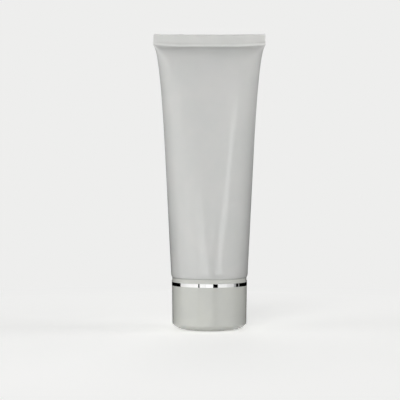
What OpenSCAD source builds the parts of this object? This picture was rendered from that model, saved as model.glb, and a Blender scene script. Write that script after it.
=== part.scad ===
// Stand-up squeeze tube: a round sleeve pressed flat and sealed at the top, a moulded head with a
// threaded neck welded into its round end, and a large screw cap on which the tube stands.
// The origin is the centre of the cap's end face, +Z runs up the tube to its sealed tail,
// and the flat tail lies in the XZ plane. Sizes are in millimetres.

/* [Sleeve] */
// Outer diameter of the sleeve at its round end
sleeve_d = 40.5; // [37:0.5:43]
// Length from the round end to the top corners of the tail
sleeve_len = 128.8; // [100:0.2:160]
// Thickness of the sleeve's wall
sleeve_wall = 0.5; // [0.4:0.05:0.7]
// How far the heel turns in at the round end
heel_inset = 1; // [0.9:0.1:2]
// Height of the heel's turn
heel_h = 3.1; // [2.4:0.1:4]

/* [Sealed tail] */
// Width of the tail where the seal begins
tail_w = 59.6; // [56:0.2:62]
// Height of the sealed strip at its corners
tail_h = 5.6; // [4:0.2:9]
// Thickness of the sealed strip
tail_t = 0.9; // [0.8:0.05:1.2]
// How far each side of the strip leans in towards its top edge
tail_inset = 0.3; // [0:0.05:0.6]
// How far the top edge hangs down in the middle
top_sag = 0.5; // [0:0.1:1]
// How far the seal's lower line hangs down in the middle
seal_dip = 1.1; // [0:0.1:2]
// Rounding along the strip's top edge
tail_edge = 0.25; // [0.1:0.05:0.3]

/* [Head] */
// Thickness of the shoulder
shoulder_t = 1.5; // [1.2:0.1:2]
// How far the shoulder falls from the heel to the neck
shoulder_drop = 2.8; // [2:0.1:4]
// Outer diameter of the neck between its threads
neck_d = 16; // [14:0.2:18]
// Length of the neck below the shoulder
neck_len = 10; // [9:0.2:12]
// Wall of the neck
neck_wall = 1.7; // [1.2:0.1:2]
// Diameter of the orifice
orifice_d = 7; // [5:0.5:8]
// Thickness of the plate that the orifice goes through
orifice_t = 1.5; // [1:0.1:2.5]
// Bevel around the neck's tip
neck_bevel = 0.4; // [0.2:0.1:0.8]
// Height of the head's weld band above the heel
weld_h = 1.5; // [1:0.1:3]
// Thickness of the weld band
weld_t = 1.2; // [0.8:0.1:1.6]

/* [Thread] */
// Rise of the thread in one turn
lead = 3; // [2.8:0.1:3.6]
// Height of the neck's thread
thread_h = 1; // [0.7:0.05:1.1]
// Width of the threads where they stand on their walls
thread_root = 1.6; // [1.2:0.1:1.7]
// Width of the threads along their crests
thread_crest = 0.8; // [0.5:0.1:1]
// Turns of the neck's thread
neck_turns = 1.75; // [1.25:0.25:2]
// Turns of the cap's thread
cap_turns = 1.5; // [1:0.25:1.75]
// Plain stretch between the neck's tip and its thread
thread_start = 1.2; // [0.8:0.1:1.6]
// Plain stretch between the socket's mouth and the cap's thread
cap_thread_start = 0.6; // [0.4:0.1:1]

/* [Cap] */
// Height of the whole cap, from its end face to its rim
cap_h = 26.9; // [25:0.1:32]
// How far the rim's seat falls inwards below the rim's edge
seat_drop = 0.1; // [0.05:0.05:0.15]
// Gap between the rim's seat and the sleeve's heel
cap_gap = 0.15; // [0.15:0.05:0.6]
// Step from the sleeve's surface in to the foot of the rim
rim_step = 0.4; // [0.1:0.05:0.5]
// Height of the whole rim
rim_h = 2.1; // [1.7:0.1:3]
// Height of the rim's wide foot, which lies on the bright ring
foot_h = 0.8; // [0.5:0.05:1.2]
// Step from the rim's foot in to the band above it
foot_step = 0.3; // [0.15:0.05:0.35]
// Bevel along the rim's outer edges
rim_bevel = 0.1; // [0.05:0.05:0.15]
// Step from the sleeve's surface in to the shell's mouth
shell_step = 0.5; // [0:0.05:0.8]
// How far the shell's side leans in towards the end face
shell_draft = 0.2; // [0.1:0.02:0.6]
// Wall of the shell at its mouth
shell_wall = 1.4; // [1.2:0.1:2]
// Thickness of the shell's end
end_t = 1.6; // [1.2:0.1:2.4]
// Width of the soft corner, measured along the end face
corner_w = 7; // [4:0.5:9]
// Height of the soft corner, measured up the side
corner_h = 3.6; // [2.5:0.1:5]
// Number of ribs inside the shell
ribs = 12; // [6:1:18]
// Thickness of a rib
rib_t = 0.9; // [0.6:0.1:1.4]

/* [Cap insert] */
// Clearance between the insert and the shoulder of the tube
web_gap = 0.6; // [0.4:0.1:1]
// Thickness of the sloping web
web_t = 1.2; // [0.9:0.1:1.5]
// Length of the skirt that the trim ring and the shell sit on
skirt_len = 8; // [6:0.2:11]
// Thickness of the skirt
skirt_t = 1.1; // [0.8:0.1:1.4]
// Clearance between the skirt and the shell around it
skirt_gap = 0.03; // [0.02:0.01:0.06]
// Radius of the snap bead around the skirt
bead_r = 0.3; // [0.15:0.05:0.4]
// Wall of the threaded socket
socket_wall = 1.5; // [1.2:0.1:2]
// Thickness of the socket's floor
floor_t = 1.2; // [1:0.1:2]
// Clearance between the crest of a thread and the wall that it faces
thread_gap = 0.3; // [0.25:0.05:0.4]
// Bevel around the mouth of the socket
mouth_bevel = 0.5; // [0.3:0.1:0.7]

/* [Trim ring] */
// Height of the bright ring
ring_h = 1.9; // [1.5:0.1:3]
// Step from the sleeve's surface in to the ring
ring_step = 0.45; // [0:0.05:0.5]
// Bevel along the ring's outer edges
ring_bevel = 0.1; // [0.05:0.05:0.2]

/* [Liner] */
// Thickness of the sealing disc
liner_t = 1.2; // [0.8:0.1:1.6]
// Gap around the disc in its socket
liner_gap = 0.2; // [0.1:0.05:0.4]

/* [Hidden] */
$fn = 96;

// Shares and powers of the sleeve's widening: steady, then a flare, then a lip under the seal
steady_share = 0.636;
flare_share = 0.25;
flare_power = 7;
lip_share = 0.114;
lip_power = 50;
// Power with which the folding flat takes up girth towards the seal
fold_power = 12;
// Softness of the change from the flat panels to the round sides
panel_soft = 0.12;
// The dip of the seal's line dies out down the sleeve with this power, and across it with this one
dip_power = 30;
across_power = 4;
// The flat faces of the tail reach this close to its ends, as the sine of the section's angle
flat_reach = 0.25;
// Share of the sleeve's height over which a wall turns flat below the seal
flat_share = 0.012;
// Faces around the sleeve, rings up its outside and inside, and rings in the heel's turn
around = 48;
rings_out = 26;
rings_in = 12;
rings_heel = 5;
// Rings crowd towards the seal with this power
crowding = 2.2;
// Where the sleeve's hollow ends, as a share of the height to the seal
hollow_top = 0.985;
// Gap that the welded head keeps from the inside of the sleeve
weld_gap = 0.05;
// Clearance of the snap bead in its groove
bead_gap = 0.05;
// Points along a soft corner, steps of a thread's turn, and degrees over which a thread fades in
corner_points = 12;
turn_steps = 24;
fade = 30;
// Depth to which a thread is rooted in its wall
rooting = 0.3;
// Height of a thread's faded end, as a share of its full height
faded_share = 0.15;
// How far a cut runs on past the face that it opens
cut = 1;

round_r = sleeve_d / 2;
hook_r = round_r - heel_inset;
neck_r = neck_d / 2;
bore_r = neck_r - neck_wall;
socket_r = neck_r + thread_h + thread_gap;
foot_r = round_r - rim_step;
rim_r = foot_r - foot_step;
ring_r = round_r - ring_step;
shell_r = round_r - shell_step;
skirt_r = shell_r - shell_wall;

z_ring = cap_h - rim_h - ring_h;
z_rim = cap_h - rim_h;
z_heel = cap_h - seat_drop + cap_gap;
z_round = z_heel + heel_h;
z_corner = z_heel + sleeve_len;
z_seal = z_corner - tail_h;
z_root = z_heel - shoulder_drop;
z_tip = z_root - neck_len;
z_liner = z_tip - liner_t;
z_floor = z_liner - floor_t;
z_skirt = z_rim - skirt_len;
z_neck_thread = z_tip + thread_start + thread_root / 2;

slope = shoulder_drop / (hook_r - neck_r);

// Height of the shoulder's outside at radius r, carried on past its ends
function shoulder_z(r) = z_heel - (hook_r - r) * slope;

// A quarter of an ellipse, from the side of a turned outline down to its end face
function soft_corner(side_r, end_z, width, height) =
  [for (k = [0 : corner_points])
    let (t = 90 * k / corner_points)
      [side_r - width + width * cos(t), end_z + height - height * sin(t)]];

// Half the sleeve's width at share u of the height from the heel to the seal
function half_width(u) =
  round_r + (tail_w / 2 - round_r)
    * (steady_share * u + flare_share * pow(u, flare_power) + lip_share * pow(u, lip_power));

// Girth at share u: round at the heel, folded flat at the seal
function girth(u) =
  let (folded = pow(u, fold_power))
    2 * PI * round_r * (1 - folded) + (2 * tail_w + (2 * PI - 4) * tail_t / 2) * folded;

// Half the depth that this girth leaves when the sides are half circles joined by panels
function half_depth(u) = (girth(u) - 4 * half_width(u)) / (2 * PI - 4);

function smooth_sign(c) =
  c * sqrt(1 + panel_soft * panel_soft) / sqrt(c * c + panel_soft * panel_soft);

function clamped(v) = max(-1, min(1, v));

// One ring of the sleeve: half width a, half depth b, drawn in by inset, flattened by the share flat
function ring(a, b, inset, flat, z, dip) =
  [for (k = [0 : around - 1])
    let (
      t = 360 * k / around,
      c = cos(t),
      s = sin(t),
      x = (a - b) * smooth_sign(c) + (b - inset) * c,
      y = (b - inset) * ((1 - flat) * s + flat * clamped(s / flat_reach)),
      reach = min(1, abs(x) / (tail_w / 2))
    )
      [x, y, z - dip * (1 - pow(reach, across_power))]];

function body_ring(u, inset) =
  ring(half_width(u), half_depth(u), inset, max(0, 1 - (1 - u) / flat_share),
    z_round + (z_seal - z_round) * u, seal_dip * pow(u, dip_power));

function heel_ring(inset, t) =
  let (r = hook_r + (heel_inset - inset) * cos(t))
    ring(r, r, 0, 0, z_round - (heel_h - inset) * sin(t), 0);

function tail_ring(v, edge) =
  ring(tail_w / 2 - tail_inset * v - edge, tail_t / 2 - edge, 0, 1,
    z_seal + (z_corner - z_seal) * v, seal_dip * (1 - v) + top_sag * v);

// The sleeve's skin, from the top of the hollow down the inside, round the heel, up to the tail
function sleeve_rings() = concat(
  [for (k = [rings_in : -1 : 0]) body_ring(hollow_top * (1 - pow(1 - k / rings_in, crowding)), sleeve_wall)],
  [for (k = [1 : rings_heel]) heel_ring(sleeve_wall, 90 * k / rings_heel)],
  [for (k = [rings_heel : -1 : 1]) heel_ring(0, 90 * k / rings_heel)],
  [for (k = [0 : rings_out]) body_ring(1 - pow(1 - k / rings_out, crowding), 0)],
  [for (v = [0.5, 1 - tail_edge / tail_h]) tail_ring(v, 0)],
  [tail_ring(1, tail_edge)]
);

// Triangles between ring j and ring j + 1 of a skin whose rings have n points
function band_faces(j, n) =
  [for (k = [0 : n - 1], half = [0, 1])
    let (
      k1 = (k + 1) % n,
      a = j * n + k,
      b = j * n + k1,
      c = (j + 1) * n + k1,
      d = (j + 1) * n + k
    )
      half == 0 ? [a, b, c] : [a, c, d]];

// Strips that close ring j from its front to its back
function lid_faces(j, n, up) =
  [for (k = [0 : n / 2 - 1], half = [0, 1])
    let (
      a = j * n + k,
      b = j * n + k + 1,
      c = j * n + (n - k - 1) % n,
      d = j * n + (n - k) % n,
      face = half == 0 ? [a, b, c] : [a, c, d]
    )
      if (len([for (p = [0 : 2]) if (face[p] == face[(p + 1) % 3]) p]) == 0)
        up ? face : [face[2], face[1], face[0]]];

module tube_sleeve() {
  rings = sleeve_rings();
  last = len(rings) - 1;
  color([0.87, 0.87, 0.87])
    polyhedron(
      points = [for (r = rings, p = r) p],
      faces = [
        for (f = lid_faces(0, around, true)) f,
        for (j = [0 : last - 1], f = band_faces(j, around)) [f[2], f[1], f[0]],
        for (f = lid_faces(last, around, false)) f
      ],
      convexity = 6
    );
}

// A ridge that winds up a wall: four corners a step, from radius base_r to crest_r
module thread(base_r, crest_r, turns, z_start, turned) {
  steps = ceil(turns * turn_steps);
  reach = crest_r - base_r;
  sunk = base_r - sign(reach) * rooting;
  corners = [for (i = [0 : steps])
    let (
      t = turns * 360 * i / steps,
      share = max(faded_share, min(1, t / fade, (turns * 360 - t) / fade)),
      crest = base_r + reach * share,
      half_root = thread_root / 2,
      half_crest = half_root + (thread_crest - thread_root) / 2 * share,
      z = z_start + lead * t / 360
    )
      each [for (p = [[sunk, -half_root], [crest, -half_crest], [crest, half_crest], [sunk, half_root]])
        [p[0] * cos(t + turned), p[0] * sin(t + turned), z + p[1]]]];
  out = reach > 0;
  bands = [for (i = [0 : steps - 1], f = band_faces(i, 4)) f];
  ends = [[0, 3, 2], [0, 2, 1], [for (p = [0, 1, 2]) 4 * steps + p], [for (p = [0, 2, 3]) 4 * steps + p]];
  polyhedron(
    points = corners,
    faces = [for (f = concat(bands, ends)) out ? f : [f[2], f[1], f[0]]],
    convexity = 6
  );
}

module tube_head() {
  // The head stays inside the flats of the sleeve's faces, up to the top of its weld band
  flats = cos(180 / around);
  lip_r = hook_r * flats - weld_gap;
  band_r = half_depth(weld_h / (z_seal - z_round)) * flats - sleeve_wall - weld_gap;
  turn_h = heel_h - sleeve_wall - weld_gap;
  outline = concat(
    [
      [orifice_d / 2, z_tip],
      [neck_r - neck_bevel, z_tip],
      [neck_r, z_tip + neck_bevel],
      [neck_r, z_root],
      [lip_r, shoulder_z(lip_r)],
      [lip_r, z_round - turn_h]
    ],
    [for (k = [rings_heel : -1 : 0])
      let (t = 90 * k / rings_heel)
        [hook_r + (band_r - hook_r) * cos(t), z_round - turn_h * sin(t)]],
    [
      [band_r, z_round + weld_h],
      [band_r - weld_t, z_round + weld_h],
      [band_r - weld_t, shoulder_z(band_r - weld_t) + shoulder_t],
      [bore_r, shoulder_z(bore_r) + shoulder_t],
      [bore_r, z_tip + orifice_t],
      [orifice_d / 2, z_tip + orifice_t]
    ]
  );
  color([0.86, 0.86, 0.85]) {
    rotate_extrude() polygon(outline);
    thread(neck_r, neck_r + thread_h, neck_turns, z_neck_thread, 0);
  }
}

module cap_shell() {
  side_r = shell_r - shell_draft;
  inner_r = side_r - shell_wall;
  inner_w = corner_w - shell_wall;
  color([0.86, 0.86, 0.84]) {
    difference() {
      rotate_extrude()
        polygon(concat([[0, z_ring], [shell_r, z_ring]], soft_corner(side_r, 0, corner_w, corner_h), [[0, 0]]));
      rotate_extrude()
        polygon(concat(
          [[0, z_ring + cut], [skirt_r, z_ring + cut], [skirt_r, z_skirt]],
          soft_corner(inner_r, end_t, inner_w, corner_h),
          [[0, end_t]]
        ));
      snap_bead(bead_r + bead_gap);
    }
    // Ribs that stand on the shell's end and carry the insert's skirt on their tops
    for (k = [0 : ribs - 1])
      rotate([90, 0, 360 * k / ribs])
        linear_extrude(rib_t, center = true)
          polygon(concat(
            [[skirt_r - skirt_t, z_skirt], [skirt_r + rooting, z_skirt]],
            soft_corner(inner_r + rooting, end_t - rooting, inner_w, corner_h)
          ));
  }
}

// The bead around the insert's skirt, which clicks into the shell's groove
module snap_bead(r) {
  rotate_extrude() translate([skirt_r, z_skirt + 2 * bead_r]) circle(r = r, $fn = 32);
}

module cap_insert() {
  socket_out = socket_r + socket_wall;
  web_in = skirt_r - skirt_t;
  web_top = function (r) shoulder_z(r) - web_gap;
  outline = [
    [0, z_floor],
    [socket_out, z_floor],
    [socket_out, web_top(socket_out) - web_t],
    [web_in, web_top(web_in) - web_t],
    [web_in, z_skirt],
    [skirt_r - skirt_gap, z_skirt],
    [skirt_r - skirt_gap, z_rim],
    [foot_r - rim_bevel, z_rim],
    [foot_r, z_rim + rim_bevel],
    [foot_r, z_rim + foot_h - rim_bevel],
    [foot_r - rim_bevel, z_rim + foot_h],
    [rim_r, z_rim + foot_h],
    [rim_r, cap_h - rim_bevel],
    [rim_r - rim_bevel, cap_h],
    [hook_r, cap_h - seat_drop],
    [hook_r, web_top(hook_r)],
    [socket_r + mouth_bevel, web_top(socket_r + mouth_bevel)],
    [socket_r, web_top(socket_r) - mouth_bevel],
    [socket_r, z_liner],
    [0, z_liner]
  ];
  thread_low = web_top(socket_r) - mouth_bevel - cap_thread_start - thread_root / 2 - cap_turns * lead;
  // Turned so that it runs half a lead away from the neck's thread
  turned = 360 * (thread_low - z_neck_thread - lead / 2) / lead;
  color([0.85, 0.85, 0.83]) {
    rotate_extrude() polygon(outline);
    snap_bead(bead_r);
    thread(socket_r, neck_r + thread_gap, cap_turns, thread_low, turned);
  }
}

module trim_ring() {
  color([0.9, 0.9, 0.9])
    rotate_extrude()
      polygon([
        [skirt_r, z_ring],
        [ring_r - ring_bevel, z_ring],
        [ring_r, z_ring + ring_bevel],
        [ring_r, z_rim - ring_bevel],
        [ring_r - ring_bevel, z_rim],
        [skirt_r, z_rim]
      ]);
}

module cap_liner() {
  color([0.95, 0.95, 0.95])
    translate([0, 0, z_liner])
      cylinder(r = socket_r - liner_gap, h = liner_t);
}

tube_sleeve();
tube_head();
cap_shell();
cap_insert();
trim_ring();
cap_liner();
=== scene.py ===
"""The looks of a stand-up squeeze tube, in metres, +Z up: the tube stands on its screw cap."""
import math

import bpy
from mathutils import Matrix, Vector, noise


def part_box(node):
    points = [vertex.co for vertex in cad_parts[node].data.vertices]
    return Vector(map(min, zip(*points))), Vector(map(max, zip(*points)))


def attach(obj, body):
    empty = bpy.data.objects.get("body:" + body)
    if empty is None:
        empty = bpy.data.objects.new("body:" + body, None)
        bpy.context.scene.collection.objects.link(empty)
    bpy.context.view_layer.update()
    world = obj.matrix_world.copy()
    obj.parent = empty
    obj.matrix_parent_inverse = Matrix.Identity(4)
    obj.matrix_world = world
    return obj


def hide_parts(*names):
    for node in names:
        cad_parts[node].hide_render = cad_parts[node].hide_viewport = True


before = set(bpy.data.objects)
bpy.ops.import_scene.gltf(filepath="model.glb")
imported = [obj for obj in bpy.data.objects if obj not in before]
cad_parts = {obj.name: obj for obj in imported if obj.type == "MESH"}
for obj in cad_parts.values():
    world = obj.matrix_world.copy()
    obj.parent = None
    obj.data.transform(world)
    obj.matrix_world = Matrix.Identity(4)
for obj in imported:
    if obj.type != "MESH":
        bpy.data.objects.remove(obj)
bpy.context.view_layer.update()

MM = 0.001
TURN = 2 * math.pi

# Places and sizes that the frame gives
sleeve_low, sleeve_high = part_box("tube_sleeve")
head_low, head_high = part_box("tube_head")
shell_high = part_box("cap_shell")[1]
insert_low, insert_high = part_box("cap_insert")
ring_low, ring_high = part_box("trim_ring")
liner_low, liner_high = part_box("cap_liner")

ROUND_R = sleeve_high.y
TAIL_HALF = sleeve_high.x
HEEL_Z = sleeve_low.z
TAIL_Z = sleeve_high.z
TIP_Z = head_low.z
RIM_Z = insert_high.z
FOOT_R = insert_high.x
RING_R = ring_high.x
SHELL_R = shell_high.x
FLOOR_Z = insert_low.z
LINER_R = liner_high.x

# The sleeve, as the solid has it
SLEEVE_WALL = 0.5 * MM
HEEL_IN = 1 * MM
HEEL_H = 3.1 * MM
TAIL_H = 5.6 * MM
TAIL_T = 0.9 * MM
TAIL_INSET = 0.3 * MM
TOP_SAG = 0.5 * MM
SEAL_DIP = 1.1 * MM
STEADY_SHARE, FLARE_SHARE, LIP_SHARE = 0.636, 0.25, 0.114
FLARE_POWER, LIP_POWER, FOLD_POWER = 7, 50, 12
DIP_POWER, ACROSS_POWER = 30, 4
PANEL_SOFT = 0.12
FLAT_REACH = 0.25
FLAT_SHARE = 0.012
# The crease under the seal is rounded over this height
CREASE = 1.4 * MM
# Depth of a panel's hollow as a share of its half width, and how far the soft wall strays
HOLLOW = 0.03
UNEVEN = 0.12 * MM
ROUND_Z = HEEL_Z + HEEL_H
SEAL_Z = TAIL_Z - TAIL_H
HOOK_R = ROUND_R - HEEL_IN

# The head and the threads
SHOULDER_T = 1.5 * MM
SHOULDER_DROP = 2.8 * MM
NECK_R = 8 * MM
NECK_WALL = 1.7 * MM
ORIFICE_R = 3.5 * MM
ORIFICE_T = 1.5 * MM
LEAD = 3 * MM
THREAD_H = 1 * MM
THREAD_ROOT = 1.6 * MM
THREAD_CREST = 0.8 * MM
THREAD_GAP = 0.3 * MM
THREAD_START = 1.2 * MM
THREAD_FADE = 30 / 360
NECK_TURNS, CAP_TURNS = 1.75, 1.5
SHOULDER_Z = HEEL_Z - SHOULDER_DROP
SLOPE = SHOULDER_DROP / (HOOK_R - NECK_R)

# The cap
RIM_H = 2.1 * MM
FOOT_H = 0.8 * MM
RIM_R = FOOT_R - 0.3 * MM
SEAT_DROP = 0.1 * MM
# How far the soft heel takes up the solids' clearance over the rim
SEATED = 0.08 * MM
SHELL_WALL = 1.4 * MM
SHELL_DRAFT = 0.2 * MM
END_T = 1.6 * MM
CORNER_W = 7 * MM
CORNER_H = 3.6 * MM
RIBS = 12
RIB_T = 0.9 * MM
WEB_GAP = 0.6 * MM
WEB_T = 1.2 * MM
SKIRT_LEN = 8 * MM
SKIRT_T = 1.1 * MM
SOCKET_R = NECK_R + THREAD_H + THREAD_GAP
SOCKET_WALL = 1.5 * MM
SKIRT_R = SHELL_R - SHELL_WALL


def smoothstep(x):
    x = min(1, max(0, x))
    return x * x * (3 - 2 * x)


def shoulder_z(r):
    """Height of the shoulder's outside at radius r."""
    return HEEL_Z - (HOOK_R - r) * SLOPE


class Wire:
    """One output of a node. Its operators add Math nodes."""

    def __init__(self, finish, socket):
        self.finish, self.socket = finish, socket

    def math(self, operation, *values):
        return self.finish.node("ShaderNodeMath", {"operation": operation}, *values)

    def out(self, name):
        return Wire(self.finish, self.socket.node.outputs[name])

    def __add__(self, other):
        return self.math("ADD", self, other)

    def __sub__(self, other):
        return self.math("SUBTRACT", self, other)

    def __rsub__(self, other):
        return self.math("SUBTRACT", other, self)

    def __mul__(self, other):
        return self.math("MULTIPLY", self, other)

    def __truediv__(self, other):
        return self.math("DIVIDE", self, other)

    __radd__, __rmul__ = __add__, __mul__

    def absolute(self):
        return self.math("ABSOLUTE", self)

    def at_least(self, other):
        return self.math("MAXIMUM", self, other)

    def between(self, low, high):
        """0 below low, 1 above high, smooth between them."""
        return self.finish.node(
            "ShaderNodeMapRange", {"interpolation_type": "SMOOTHSTEP"}, self, low, high, 0, 1
        )


class Finish:
    """The node tree of a material or of the world."""

    def __init__(self, owner):
        owner.use_nodes = True
        self.owner, self.tree = owner, owner.node_tree
        self.tree.nodes.clear()

    def node(self, kind, settings=None, *values, **named):
        """Adds a node: its type, its settings, then its sockets by order or by name (with _ for a space)."""
        made = self.tree.nodes.new(kind)
        for key, value in (settings or {}).items():
            setattr(made, key, value)
        sockets = list(zip([s for s in made.inputs if s.enabled], values))
        sockets += [(made.inputs[key.replace("_", " ")], value) for key, value in named.items()]
        for socket, value in sockets:
            if isinstance(value, Wire):
                self.tree.links.new(value.socket, socket)
            else:
                socket.default_value = value
        shown = [s for s in made.outputs if s.enabled]
        return Wire(self, shown[0]) if shown else None

    def place(self):
        """The point on the piece, in metres, which moves with the piece."""
        return self.node("ShaderNodeTexCoord").out("Object")

    def axes(self, vector):
        split = self.node("ShaderNodeSeparateXYZ", None, vector)
        return split.out("X"), split.out("Y"), split.out("Z")

    def stretched(self, vector, x, y, z):
        return self.node("ShaderNodeVectorMath", {"operation": "MULTIPLY"}, vector, (x, y, z))

    def noise(self, vector, scale, detail=2, roughness=0.5):
        return self.node(
            "ShaderNodeTexNoise", None, Vector=vector, Scale=scale, Detail=detail, Roughness=roughness
        )

    def blend(self, share, first, second):
        """A colour that goes from first to second as share goes from 0 to 1."""
        return self.node("ShaderNodeMix", {"data_type": "RGBA"}, share, first, second)

    def bump(self, height, distance, normal=None):
        if normal is None:
            return self.node("ShaderNodeBump", None, Height=height, Distance=distance, Strength=1)
        return self.node("ShaderNodeBump", None, Height=height, Distance=distance, Strength=1, Normal=normal)

    def surface(self, shader):
        owned_by = "World" if isinstance(self.owner, bpy.types.World) else "Material"
        self.node("ShaderNodeOutput" + owned_by, None, Surface=shader)
        return self.owner


def new_finish(name):
    return Finish(bpy.data.materials.new(name))


def tone(r, g, b):
    """A colour written as display values from 0 to 255."""

    def linear(v):
        v /= 255
        return v / 12.92 if v <= 0.04045 else ((v + 0.055) / 1.055) ** 2.4

    return (linear(r), linear(g), linear(b), 1)


SLEEVE_WHITE = tone(203, 203, 201)
SLEEVE_CLOUD = tone(200, 201, 199)
# Painted highlight: the paler white laid along the seal's top and side edges
EDGE_HIGHLIGHT_WHITE = tone(240, 240, 240)
CAP_WHITE = tone(202, 203, 197)
CAP_CLOUD = tone(198, 199, 194)
# Depth to which light spreads inside white plastic before it leaves
SPREAD = 1.2 * MM


def white_plastic(f, colour, satin, bumped):
    """Gloss over a body in which light spreads a little."""
    return f.surface(
        f.node(
            "ShaderNodeBsdfPrincipled", {"subsurface_method": "BURLEY"}, Base_Color=colour,
            Roughness=satin, Normal=bumped, IOR=1.5, Subsurface_Weight=0.7,
            Subsurface_Radius=(1, 1, 0.95), Subsurface_Scale=SPREAD,
        )
    )


def sleeve_plastic():
    """Soft white plastic, satin, with the faint streaks of a drawn sleeve, and a painted highlight: the
    seal's top and side edges are made paler to stand in for the light they catch.
    """
    f = new_finish("sleeve_plastic")
    place = f.place()
    x, y, z = f.axes(place)
    cloud = f.noise(place, 60, detail=3)
    streaks = f.noise(f.stretched(place, 900, 900, 14), 1, detail=2)
    grain = f.noise(place, 2600, detail=2)
    slump = f.noise(f.stretched(place, 90, 90, 40), 1, detail=1)
    from_top = TAIL_Z - z
    from_side = TAIL_HALF - TAIL_INSET - x.absolute()
    on_tail = z.between(SEAL_Z - SEAL_DIP, SEAL_Z)
    near_top = 1 - from_top.between(0.5 * MM, 0.9 * MM)
    near_side = 1 - from_side.between(0.05 * MM, 0.4 * MM)
    # Painted highlight: the seal's top edge, and more faintly its sides, turn paler, standing in for the
    # light they catch
    painted_edge_highlight = near_top.at_least(near_side * 0.4) * on_tail
    colour = f.blend(cloud.between(0.35, 0.65), SLEEVE_WHITE, SLEEVE_CLOUD)
    colour = f.blend(painted_edge_highlight, colour, EDGE_HIGHLIGHT_WHITE)
    satin = 0.1 + (cloud - 0.5) * 0.03 + (grain - 0.5) * 0.03
    bumped = f.bump(streaks * 0.5 + grain * 0.35, 0.02 * MM)
    bumped = f.bump(slump, 0.25 * MM, bumped)
    return white_plastic(f, colour, satin, bumped)


def cap_plastic():
    """Warm white moulded plastic, a little glossier than the sleeve."""
    f = new_finish("cap_plastic")
    place = f.place()
    cloud = f.noise(place, 80, detail=3)
    grain = f.noise(place, 2200, detail=2)
    slump = f.noise(f.stretched(place, 120, 120, 60), 1, detail=1)
    colour = f.blend(cloud.between(0.35, 0.65), CAP_WHITE, CAP_CLOUD)
    satin = 0.08 + (cloud - 0.5) * 0.02 + (grain - 0.5) * 0.02
    bumped = f.bump(grain * 0.4, 0.012 * MM)
    bumped = f.bump(slump, 0.12 * MM, bumped)
    return white_plastic(f, colour, satin, bumped)


def head_plastic():
    """Plain moulded white plastic with a fine matt grain."""
    f = new_finish("head_plastic")
    place = f.place()
    cloud = f.noise(place, 120, detail=3)
    grain = f.noise(place, 2600, detail=2)
    colour = f.blend(cloud.between(0.35, 0.65), tone(200, 200, 197), tone(194, 195, 192))
    return f.surface(
        f.node(
            "ShaderNodeBsdfPrincipled", None, Base_Color=colour, Roughness=0.46 + (cloud - 0.5) * 0.1,
            Normal=f.bump(grain, 0.015 * MM), IOR=1.5,
        )
    )


def bright_ring():
    """Mirror bright silver with the faint draw lines of a polished ring."""
    f = new_finish("bright_ring")
    place = f.place()
    cloud = f.noise(place, 140, detail=2)
    lines = f.noise(f.stretched(place, 60, 60, 9000), 1, detail=1)
    colour = f.blend(cloud.between(0.3, 0.7), tone(246, 246, 245), tone(240, 240, 239))
    return f.surface(
        f.node(
            "ShaderNodeBsdfPrincipled", None, Base_Color=colour, Metallic=1.0,
            Roughness=0.05 + (lines - 0.5) * 0.03 + (cloud - 0.5) * 0.03, Normal=f.bump(lines, 0.0006 * MM),
        )
    )


def liner_foam():
    """Soft foamed sheet with closed cells."""
    f = new_finish("liner_foam")
    place = f.place()
    cells = f.node("ShaderNodeTexVoronoi", None, Vector=place, Scale=4200)
    cloud = f.noise(place, 300, detail=2)
    colour = f.blend(cloud.between(0.3, 0.7), tone(238, 238, 236), tone(229, 230, 228))
    return f.surface(
        f.node(
            "ShaderNodeBsdfPrincipled", None, Base_Color=colour, Roughness=0.72 + (cloud - 0.5) * 0.1,
            Normal=f.bump(cells, 0.03 * MM),
        )
    )


def add_mesh(name, points, faces):
    mesh = bpy.data.meshes.new(name)
    mesh.from_pydata(points, [], faces)
    mesh.update()
    mesh.shade_smooth()
    piece = bpy.data.objects.new(name, mesh)
    bpy.context.scene.collection.objects.link(piece)
    return piece


def bands(rings, around, wrapped):
    """Quads between neighbouring rings of the same number of points."""
    last = rings if wrapped else rings - 1
    return [
        (j * around + k, j * around + (k + 1) % around,
         (j + 1) % rings * around + (k + 1) % around, (j + 1) % rings * around + k)
        for j in range(last) for k in range(around)
    ]


def firm_normals(piece):
    """Flat faces keep their own shading next to a small rounding."""
    piece.modifiers.new("firm_normals", "WEIGHTED_NORMAL").mode = "FACE_AREA"
    return piece


def rounded(corners, steps=5):
    """The closed outline of corners (r, z, radius), with each corner rounded by an arc."""
    outline = []
    for k, (r, z, radius) in enumerate(corners):
        here = Vector((r, z))
        before = Vector(corners[k - 1][:2])
        after = Vector(corners[(k + 1) % len(corners)][:2])
        back, ahead = (before - here), (after - here)
        angle = back.angle(ahead)
        if radius <= 0 or angle > math.pi - 0.02:
            outline.append((r, z))
            continue
        reach = min(radius / math.tan(angle / 2), 0.49 * min(back.length, ahead.length))
        radius = reach * math.tan(angle / 2)
        start = here + back.normalized() * reach
        inward = (back.normalized() + ahead.normalized()).normalized()
        centre = here + inward * (radius / math.sin(angle / 2))
        first = start - centre
        last = here + ahead.normalized() * reach - centre
        sweep = first.angle_signed(last)
        for i in range(steps + 1):
            a = -sweep * i / steps
            outline.append(
                (centre.x + first.x * math.cos(a) - first.y * math.sin(a),
                 centre.y + first.x * math.sin(a) + first.y * math.cos(a))
            )
    return outline


def subdivided(outline, step):
    """The outline with long stretches between z values cut into pieces no longer than step."""
    cut = []
    for (r, z), (r2, z2) in zip(outline, outline[1:] + outline[:1]):
        pieces = max(1, math.ceil(math.hypot(r2 - r, z2 - z) / step))
        cut += [(r + (r2 - r) * i / pieces, z + (z2 - z) * i / pieces) for i in range(pieces)]
    return cut


def turned(name, outline, around=192, swell=None):
    """A piece turned round Z from its closed outline of (r, z). swell may change the radius of a point."""
    points = []
    for r, z in outline:
        for k in range(around):
            angle = TURN * k / around
            radius = swell(r, z, angle) if swell else r
            points.append((radius * math.cos(angle), radius * math.sin(angle), z))
    return firm_normals(add_mesh(name, points, bands(len(outline), around, True)))


# The sleeve


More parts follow.
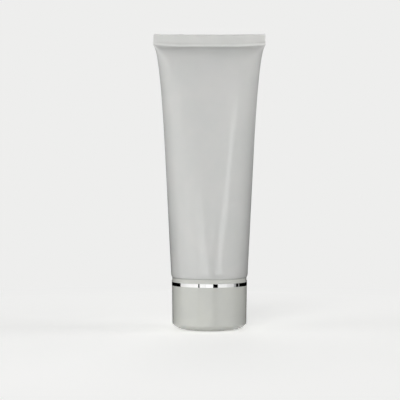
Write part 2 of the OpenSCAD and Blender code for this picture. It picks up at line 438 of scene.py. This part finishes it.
def half_width(u):
    shares = STEADY_SHARE * u + FLARE_SHARE * u**FLARE_POWER + LIP_SHARE * u**LIP_POWER
    return ROUND_R + (TAIL_HALF - ROUND_R) * shares


def half_depth(u):
    folded = u**FOLD_POWER
    girth = TURN * ROUND_R * (1 - folded) + (4 * TAIL_HALF + (TURN - 4) * TAIL_T / 2) * folded
    return (girth - 4 * half_width(u)) / (TURN - 4)


def section(a, b, inset, flat, z, dip, around):
    """One ring of the sleeve: half width a, half depth b, drawn in by inset, flattened by the share flat."""
    ring = []
    for k in range(around):
        c, s = math.cos(TURN * k / around), math.sin(TURN * k / around)
        sharp = c * math.sqrt(1 + PANEL_SOFT**2) / math.sqrt(c * c + PANEL_SOFT**2)
        x = (a - b) * sharp + (b - inset) * c
        y = (b - inset) * ((1 - flat) * s + flat * max(-1, min(1, s / FLAT_REACH)))
        reach = min(1, abs(x) / TAIL_HALF)
        ring.append(Vector((x, y, z - dip * (1 - reach**ACROSS_POWER))))
    return ring


def body_section(u, inset, around):
    flat = smoothstep(1 - (1 - u) / FLAT_SHARE)
    z = ROUND_Z + (SEAL_Z - ROUND_Z) * u
    eased = 1 - math.exp(-(SEAL_Z - z) / CREASE)
    depth = TAIL_T / 2 + (half_depth(u) - TAIL_T / 2) * eased
    return section(half_width(u), depth, inset, flat, z, SEAL_DIP * u**DIP_POWER, around)


def slumped(ring, u):
    """The soft panels give a little: each is faintly hollow between its two ridges, and not quite even."""
    panel = half_width(u) - half_depth(u)
    fade = smoothstep(u / 0.2) * smoothstep((1 - u) / 0.05)
    for p in ring:
        side = 1 if p.y > 0 else -1
        across = min(1, abs(p.x) / panel) if panel > 0 else 1
        hollow = HOLLOW * panel * (1 - across**2) ** 2
        uneven = UNEVEN * noise.noise(Vector((p.x * 45, side * 3.1, p.z * 17)))
        p.y -= side * fade * (hollow + uneven * (1 - smoothstep(abs(p.x) / half_width(u))))
    return ring


def tail_section(v, half_t, inset, around):
    a = TAIL_HALF - TAIL_INSET * v - inset
    z = SEAL_Z + TAIL_H * v
    return section(a, half_t, 0, 1, z, SEAL_DIP * (1 - v) + TOP_SAG * v, around)


def make_sleeve():
    around = 256
    rings_out, rings_in, rings_heel, rings_tail, rings_edge = 150, 40, 12, 22, 8
    crowding = 2.2
    hollow_top = 0.985
    inner = [hollow_top * (1 - (1 - k / rings_in) ** crowding) for k in range(rings_in, -1, -1)]
    rings = [body_section(u, SLEEVE_WALL, around) for u in inner]
    for inset, steps in ((SLEEVE_WALL, range(1, rings_heel + 1)), (0, range(rings_heel, 0, -1))):
        for k in steps:
            t = math.pi / 2 * k / rings_heel
            side = HOOK_R + (HEEL_IN - inset) * math.cos(t)
            rings.append(section(side, side, 0, 0, ROUND_Z - (HEEL_H - inset) * math.sin(t), 0, around))
    for k in range(rings_out + 1):
        u = 1 - (1 - k / rings_out) ** crowding
        rings.append(slumped(body_section(u, 0, around), u))
    half_t = TAIL_T / 2
    bead_at, bead_width, bead = 0.13, 0.1, 0.16 * MM
    lip_at, lip_width, lip = 0.87, 0.05, 0.07 * MM
    top_v = 1 - half_t / TAIL_H
    for k in range(1, rings_tail + 1):
        v = top_v * k / rings_tail
        swell = bead * math.exp(-(((v - bead_at) / bead_width) ** 2))
        swell += lip * math.exp(-(((v - lip_at) / lip_width) ** 2))
        rings.append(tail_section(v, half_t + swell, 0, around))
    for k in range(1, rings_edge + 1):
        t = math.pi / 2 * k / (rings_edge + 0.3)
        v = top_v + (1 - top_v) * math.sin(t)
        rings.append(tail_section(v, half_t * math.cos(t), half_t * (1 - math.cos(t)), around))
    points = [p for ring in rings for p in ring]
    faces = [tuple(reversed(f)) for f in bands(len(rings), around, False)]
    for j, up in ((0, True), (len(rings) - 1, False)):
        for k in range(around // 2):
            quad = [j * around + k, j * around + k + 1,
                    j * around + (around - k - 1) % around, j * around + (around - k) % around]
            quad = list(dict.fromkeys(quad))
            faces.append(tuple(quad if not up else reversed(quad)))
    return add_mesh("sleeve", points, faces)


# The threads


def ridge(angle, z, turns, z_start, turned_by):
    """Height, from 0 to 1, of a thread's ridge at this angle and height on its wall."""
    height = 0
    for whole in range(-1, math.ceil(turns) + 1):
        turn = (angle - turned_by) / TURN + whole
        if not 0 <= turn <= turns:
            continue
        end = min(1, turn / THREAD_FADE, (turns - turn) / THREAD_FADE)
        off = abs(z - z_start - LEAD * turn)
        flank = (THREAD_ROOT / 2 - off) / ((THREAD_ROOT - THREAD_CREST) / 2)
        height = max(height, smoothstep(end) * smoothstep(flank))
    return height


NECK_THREAD_Z = TIP_Z + THREAD_START + THREAD_ROOT / 2
MOUTH_BEVEL = 0.5 * MM
CAP_THREAD_START = 0.6 * MM
CAP_THREAD_Z = (
    shoulder_z(SOCKET_R) - WEB_GAP - MOUTH_BEVEL - CAP_THREAD_START - THREAD_ROOT / 2 - CAP_TURNS * LEAD
)
CAP_THREAD_TURNED = TURN * (CAP_THREAD_Z - NECK_THREAD_Z - LEAD / 2) / LEAD
WALL_STEP = 0.12 * MM
NEAR = 0.001 * MM


def neck_swell(r, z, angle):
    if abs(r - NECK_R) > NEAR:
        return r
    return r + THREAD_H * ridge(angle, z, NECK_TURNS, NECK_THREAD_Z, 0)


def socket_swell(r, z, angle):
    if abs(r - SOCKET_R) > NEAR:
        return r
    return r - THREAD_H * ridge(angle, z, CAP_TURNS, CAP_THREAD_Z, CAP_THREAD_TURNED % TURN)


# The turned pieces


def make_head():
    band_r = head_high.x
    lip_r = HOOK_R - 0.09 * MM
    turn_z = ROUND_Z - HEEL_H + SLEEVE_WALL + 0.05 * MM
    weld_z = head_high.z
    weld_t = 1.2 * MM
    bore_r = NECK_R - NECK_WALL
    outline = [
        (ORIFICE_R, TIP_Z, 0.25 * MM),
        (NECK_R, TIP_Z, 0.5 * MM),
        (NECK_R, SHOULDER_Z, 0.5 * MM),
        (lip_r, shoulder_z(lip_r), 0.15 * MM),
        (lip_r, turn_z, 0),
        (HOOK_R, turn_z, 0),
        (band_r - 0.03 * MM, ROUND_Z - 0.5 * MM, 0.5 * MM),
        (band_r, weld_z, 0.3 * MM),
        (band_r - weld_t, weld_z, 0.3 * MM),
        (band_r - weld_t, shoulder_z(band_r - weld_t) + SHOULDER_T, 0.5 * MM),
        (bore_r, shoulder_z(bore_r) + SHOULDER_T, 0.6 * MM),
        (bore_r, TIP_Z + ORIFICE_T, 0.5 * MM),
        (ORIFICE_R, TIP_Z + ORIFICE_T, 0.3 * MM),
    ]
    return turned("head", subdivided(rounded(outline), WALL_STEP * 2), 256, neck_swell)


def soft_corner(side_r, end_z, width, height, steps=24):
    """A quarter of an ellipse, from the side of a turned outline down to its end face."""
    return [
        (side_r - width + width * math.cos(math.pi / 2 * k / steps),
         end_z + height - height * math.sin(math.pi / 2 * k / steps))
        for k in range(steps + 1)
    ]


def make_shell():
    mouth_z = ring_low.z
    skirt_z = RIM_Z - RIM_H - SKIRT_LEN
    side_r = SHELL_R - SHELL_DRAFT
    inner_r = side_r - SHELL_WALL
    inner_w = CORNER_W - SHELL_WALL
    dish_r, dish = 10.8 * MM, 0.3 * MM
    gate_r, gate = 1.2 * MM, 0.25 * MM
    edge = rounded([(SKIRT_R, mouth_z, 0), (SHELL_R, mouth_z, 0.18 * MM), (side_r, CORNER_H, 0)])
    outline = (
        edge[:-1]
        + soft_corner(side_r, 0, CORNER_W, CORNER_H)
        + rounded([(dish_r + 0.5 * MM, 0, 0.3 * MM), (dish_r - 0.3 * MM, dish, 0.6 * MM),
                   (gate_r, dish, 0.15 * MM), (gate_r, dish + gate, 0.15 * MM), (NEAR, dish + gate, 0),
                   (NEAR, END_T, 0), (inner_r - inner_w, END_T, 0)])
        + soft_corner(inner_r, END_T, inner_w, CORNER_H)[-2::-1]
        + [(SKIRT_R, skirt_z - 0.01 * MM), (SKIRT_R, skirt_z)]
    )
    shell = turned("shell", outline, 256)
    rib_outline = [(SKIRT_R - SKIRT_T, skirt_z), (inner_r + 0.3 * MM, skirt_z)]
    rib_outline += soft_corner(inner_r + 0.3 * MM, END_T - 0.3 * MM, inner_w, CORNER_H)
    count = len(rib_outline)
    points, faces = [], []
    for k in range(RIBS):
        angle = TURN * k / RIBS
        along = Vector((math.cos(angle), math.sin(angle), 0))
        across = Vector((-math.sin(angle), math.cos(angle), 0)) * RIB_T / 2
        first = len(points)
        points += [along * r + Vector((0, 0, z)) + side * across for side in (-1, 1) for r, z in rib_outline]
        faces += [
            (first + i, first + (i + 1) % count, first + count + (i + 1) % count, first + count + i)
            for i in range(count)
        ]
        faces.append(tuple(range(first + count - 1, first - 1, -1)))
        faces.append(tuple(range(first + count, first + 2 * count)))
    ribs = add_mesh("shell_ribs", points, faces)
    ribs.data.shade_flat()
    return shell, ribs


def make_insert():
    skirt_z = RIM_Z - RIM_H - SKIRT_LEN
    under_rim = RIM_Z - RIM_H
    socket_out = SOCKET_R + SOCKET_WALL
    web_in = SKIRT_R - SKIRT_T

    def web_z(r):
        return shoulder_z(r) - WEB_GAP

    liner_z = liner_low.z
    outline = [
        (NEAR, FLOOR_Z, 0),
        (socket_out, FLOOR_Z, 0.4 * MM),
        (socket_out, web_z(socket_out) - WEB_T, 0.5 * MM),
        (web_in, web_z(web_in) - WEB_T, 0.5 * MM),
        (web_in, skirt_z, 0.2 * MM),
        (SKIRT_R - 0.02 * MM, skirt_z, 0.2 * MM),
        (SKIRT_R - 0.02 * MM, under_rim, 0),
        (FOOT_R, under_rim, 0.08 * MM),
        (FOOT_R, under_rim + FOOT_H, 0.25 * MM),
        (RIM_R, under_rim + FOOT_H, 0.1 * MM),
        (RIM_R, RIM_Z + SEATED, 0.15 * MM),
        (HOOK_R, RIM_Z - SEAT_DROP + SEATED, 0.05 * MM),
        (HOOK_R - 0.2 * MM, web_z(HOOK_R - 0.2 * MM), 0.1 * MM),
        (SOCKET_R, web_z(SOCKET_R), MOUTH_BEVEL),
        (SOCKET_R, liner_z, 0.1 * MM),
        (NEAR, liner_z, 0),
    ]
    return turned("insert", subdivided(rounded(outline), WALL_STEP * 2), 256, socket_swell)


def make_ring():
    low, high = ring_low.z, ring_high.z
    edge = 0.06 * MM
    outline = [(SKIRT_R, high, 0), (RING_R, high, edge), (RING_R, low, edge), (SKIRT_R, low, 0)]
    return turned("ring", rounded(outline), 256)


def make_liner():
    low, high = liner_low.z, liner_high.z
    lip_out, lip_in, pressed = NECK_R - 0.4 * MM, ORIFICE_R, 0.06 * MM
    outline = [
        (NEAR, low, 0),
        (LINER_R, low, 0.2 * MM),
        (LINER_R, high, 0.3 * MM),
        (lip_out + 0.2 * MM, high, 0.2 * MM),
        (lip_out, high - pressed, 0.2 * MM),
        (lip_in, high - pressed, 0.2 * MM),
        (lip_in - 0.2 * MM, high, 0.2 * MM),
        (NEAR, high, 0),
    ]
    return turned("liner", rounded(outline), 192)


def dress(piece, finish, slot, body, *nodes):
    piece.data.materials.append(finish)
    if nodes:
        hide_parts(*nodes)
    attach(piece, body)


cap_finish = cap_plastic()
shell_piece, ribs_piece = make_shell()
dress(make_sleeve(), sleeve_plastic(), "sleeve_plastic", "tube", "tube_sleeve")
dress(make_head(), head_plastic(), "head_plastic", "tube", "tube_head")
dress(shell_piece, cap_finish, "cap_plastic", "cap", "cap_shell")
dress(ribs_piece, cap_finish, "cap_plastic", "cap")
dress(make_insert(), cap_finish, "cap_plastic", "cap", "cap_insert")
dress(make_ring(), bright_ring(), "bright_ring", "cap", "trim_ring")
dress(make_liner(), liner_foam(), "liner_foam", "liner", "cap_liner")

# The studio

PALE = tone(238, 238, 237)
WORLD_LIGHT = 0.165
# The floor's card as the object is lit by it, and as it looks, paler, so that it meets the world's tone
CARD = tone(222, 222, 221)
CARD_SEEN = (2.25, 2.25, 2.23, 1)
# Share of the world's tone in the floor near the object, and the radii between which it becomes all of it
MELTED = 0.3
MELT_FROM, MELT_TO = 0.09, 0.28
FLOOR_REACH = 3.0


def seen_by_eye_or_mirror(f):
    path = f.node("ShaderNodeLightPath")
    seen = path.out("Is Camera Ray").at_least(path.out("Is Glossy Ray"))
    return seen.at_least(path.out("Is Transmission Ray"))


def pale_world():
    """Pale to the eye and to mirrors, and a low even light on the object."""
    world = bpy.data.worlds.new("pale_world")
    bpy.context.scene.world = world
    f = Finish(world)
    strength = WORLD_LIGHT + (1 - WORLD_LIGHT) * seen_by_eye_or_mirror(f)
    f.surface(f.node("ShaderNodeBackground", None, Color=PALE, Strength=strength))


def floor_finish():
    """Matt pale card that melts into the pale world with distance, and keeps the shadow near the object."""
    f = new_finish("pale_floor")
    away = f.node("ShaderNodeVectorMath", {"operation": "LENGTH"}, f.place()).out("Value")
    far = MELTED + (1 - MELTED) * away.between(MELT_FROM, MELT_TO)
    seen = seen_by_eye_or_mirror(f)
    card = f.node("ShaderNodeBsdfDiffuse", None, Color=f.blend(seen, CARD, CARD_SEEN))
    glow = f.node("ShaderNodeEmission", None, Color=PALE, Strength=1)
    return f.surface(f.node("ShaderNodeMixShader", None, far * seen, card, glow))


def circle(r, z, steps):
    return [(r * math.cos(TURN * k / steps), r * math.sin(TURN * k / steps), z) for k in range(steps)]


def add_floor():
    steps = 64
    floor = add_mesh("floor", circle(FLOOR_REACH, 0, steps), [tuple(range(steps))])
    floor.data.materials.append(floor_finish())


TENT_IN, TENT_R, TENT_H = 0.022, 0.08, 0.5
TENT_LIFT = 0.5 * MM
TENT_EDGE = 0.3
# Upright patches of the tent: from and to, in degrees to the right of the front, how much darker than the
# white around them (below 0: brighter), the height where they begin, and the heights between which they fade
TENT_PATCHES = [
    (-178, -88.7, 1, 0, (40 * MM, 90 * MM)),
    (-150, -88.7, 0.5, 50 * MM, None),
    (-30.5, -26.8, 1, 0, (55 * MM, 80 * MM)),
    (-48, -30, -0.3, 30 * MM, (90 * MM, 125 * MM)),
    (-24, -3, -1, 27 * MM, (60 * MM, 100 * MM)),
    (-1, 15, 0.8, 27 * MM, (38 * MM, 62 * MM)),
    (15, 29, -2, 27 * MM, (120 * MM, 165 * MM)),
    (-9, 9.2, -0.15, 0, (26 * MM, 28 * MM)),
    (9.2, 22.1, 1, 0, (26 * MM, 28 * MM)),
    (48, 70, 0.1, 0, (26 * MM, 28 * MM)),
    (70, 78.3, 0.45, 0, (26 * MM, 28 * MM)),
    (78.3, 89, 1, 0, (26 * MM, 28 * MM)),
    (91.2, 178, 1, 0, (26 * MM, 28 * MM)),
    (91.2, 160, 0.85, 27 * MM, (60 * MM, 120 * MM)),
    (91.2, 150, 0.2, 60 * MM, None),
]
TENT_BRIGHTEST = 3
PATCH_START_SOFT = 4 * MM
# The tent's white at its back as a share of that at its front, and how much it falls from left to right
TENT_BACK = 0.6
TENT_FALL = 0.12


def add_tent():
    """Round upright card with a flat rim on the floor. Only gloss and metal see it: white, with patches."""
    steps = 96
    profile = [(TENT_IN, TENT_LIFT), (TENT_R, TENT_LIFT), (TENT_R, TENT_H)]
    points = [point for r, z in profile for point in circle(r, z, steps)]
    card = add_mesh("tent", points, bands(len(profile), steps, False))
    card.data.shade_flat()
    f = new_finish("tent_card")
    across, along, up = f.axes(f.place())
    turn = across.math("ARCTAN2", across, 0 - along) * (360 / TURN)
    lit = 1
    for low, high, darker, start, fade in TENT_PATCHES:
        patch = turn.between(low - TENT_EDGE, low + TENT_EDGE)
        patch = patch - turn.between(high - TENT_EDGE, high + TENT_EDGE)
        if start:
            patch = patch * up.between(start - PATCH_START_SOFT, start + PATCH_START_SOFT)
        if fade:
            patch = patch * (1 - up.between(*fade))
        lit = lit * (1 - patch * darker)
    facing = turn.math("COSINE", turn * (TURN / 360)).between(-0.4, 0.8)
    lit = lit * (TENT_BACK + (1 - TENT_BACK) * facing) * (1 - TENT_FALL * (across / TENT_R))
    colour = f.blend(lit / TENT_BRIGHTEST, (0, 0, 0, 1), (1, 1, 1, 1))
    glow = f.node("ShaderNodeEmission", None, Color=colour, Strength=TENT_BRIGHTEST)
    card.data.materials.append(f.surface(glow))
    card.visible_camera = card.visible_diffuse = card.visible_transmission = False
    card.visible_shadow = card.visible_volume_scatter = False


# Soft lamps around the object, by their degrees to the right of the front, and the level at which each alone
# would render a facing white surface
SOFTBOXES = {
    "left_lamp": (-75, 0.2),
    "front_lamp": (-14, 0.71),
    "right_lamp": (87, 0.35),
    "right_back_lamp": (140, 0.1),
    "back_lamp": (180, 0.45),
    "left_back_lamp": (-150, 0.15),
}
LAMP_AWAY = 0.85
LAMP_HEIGHT = 0.11
LAMP_SIZE = (0.45, 0.24)
LAMP_AIM = Vector((0, 0, 0.08))


def add_softbox(name, azimuth, level):
    angle = math.radians(azimuth)
    lamp = bpy.data.lights.new(name, "AREA")
    lamp.shape = "RECTANGLE"
    lamp.size, lamp.size_y = LAMP_SIZE
    lamp.energy = level * math.pi**2 * LAMP_AWAY**2
    box = bpy.data.objects.new(name, lamp)
    box.location = (LAMP_AWAY * math.sin(angle), -LAMP_AWAY * math.cos(angle), LAMP_HEIGHT)
    box.rotation_euler = (LAMP_AIM - box.location).to_track_quat("-Z", "Y").to_euler()
    box.visible_camera = box.visible_glossy = False
    bpy.context.scene.collection.objects.link(box)


# The camera looks level along +Y. The photo is 400 pixels wide, a pixel is this long at the tube, and the
# tube's axis and its foot lie at these pixels
PHOTO = 400
PIXEL = 0.5284 * MM
CAMERA_DISTANCE = 1100 * PIXEL
AXIS_PIXEL = 209.4
BASE_PIXEL = 328.3
SENSOR = 36


def add_camera():
    lens = bpy.data.cameras.new("camera")
    lens.sensor_width = SENSOR
    lens.lens = SENSOR * CAMERA_DISTANCE / (PHOTO * PIXEL)
    lens.clip_start = 0.01
    camera = bpy.data.objects.new("camera", lens)
    camera.location = ((PHOTO / 2 - AXIS_PIXEL) * PIXEL, -CAMERA_DISTANCE, (BASE_PIXEL - PHOTO / 2) * PIXEL)
    camera.rotation_euler = (math.pi / 2, 0, 0)
    bpy.context.scene.collection.objects.link(camera)
    bpy.context.scene.camera = camera


pale_world()
add_floor()
add_tent()
for lamp_name, (lamp_azimuth, lamp_level) in SOFTBOXES.items():
    add_softbox(lamp_name, lamp_azimuth, lamp_level)
add_camera()
bpy.context.scene.view_settings.view_transform = "Standard"
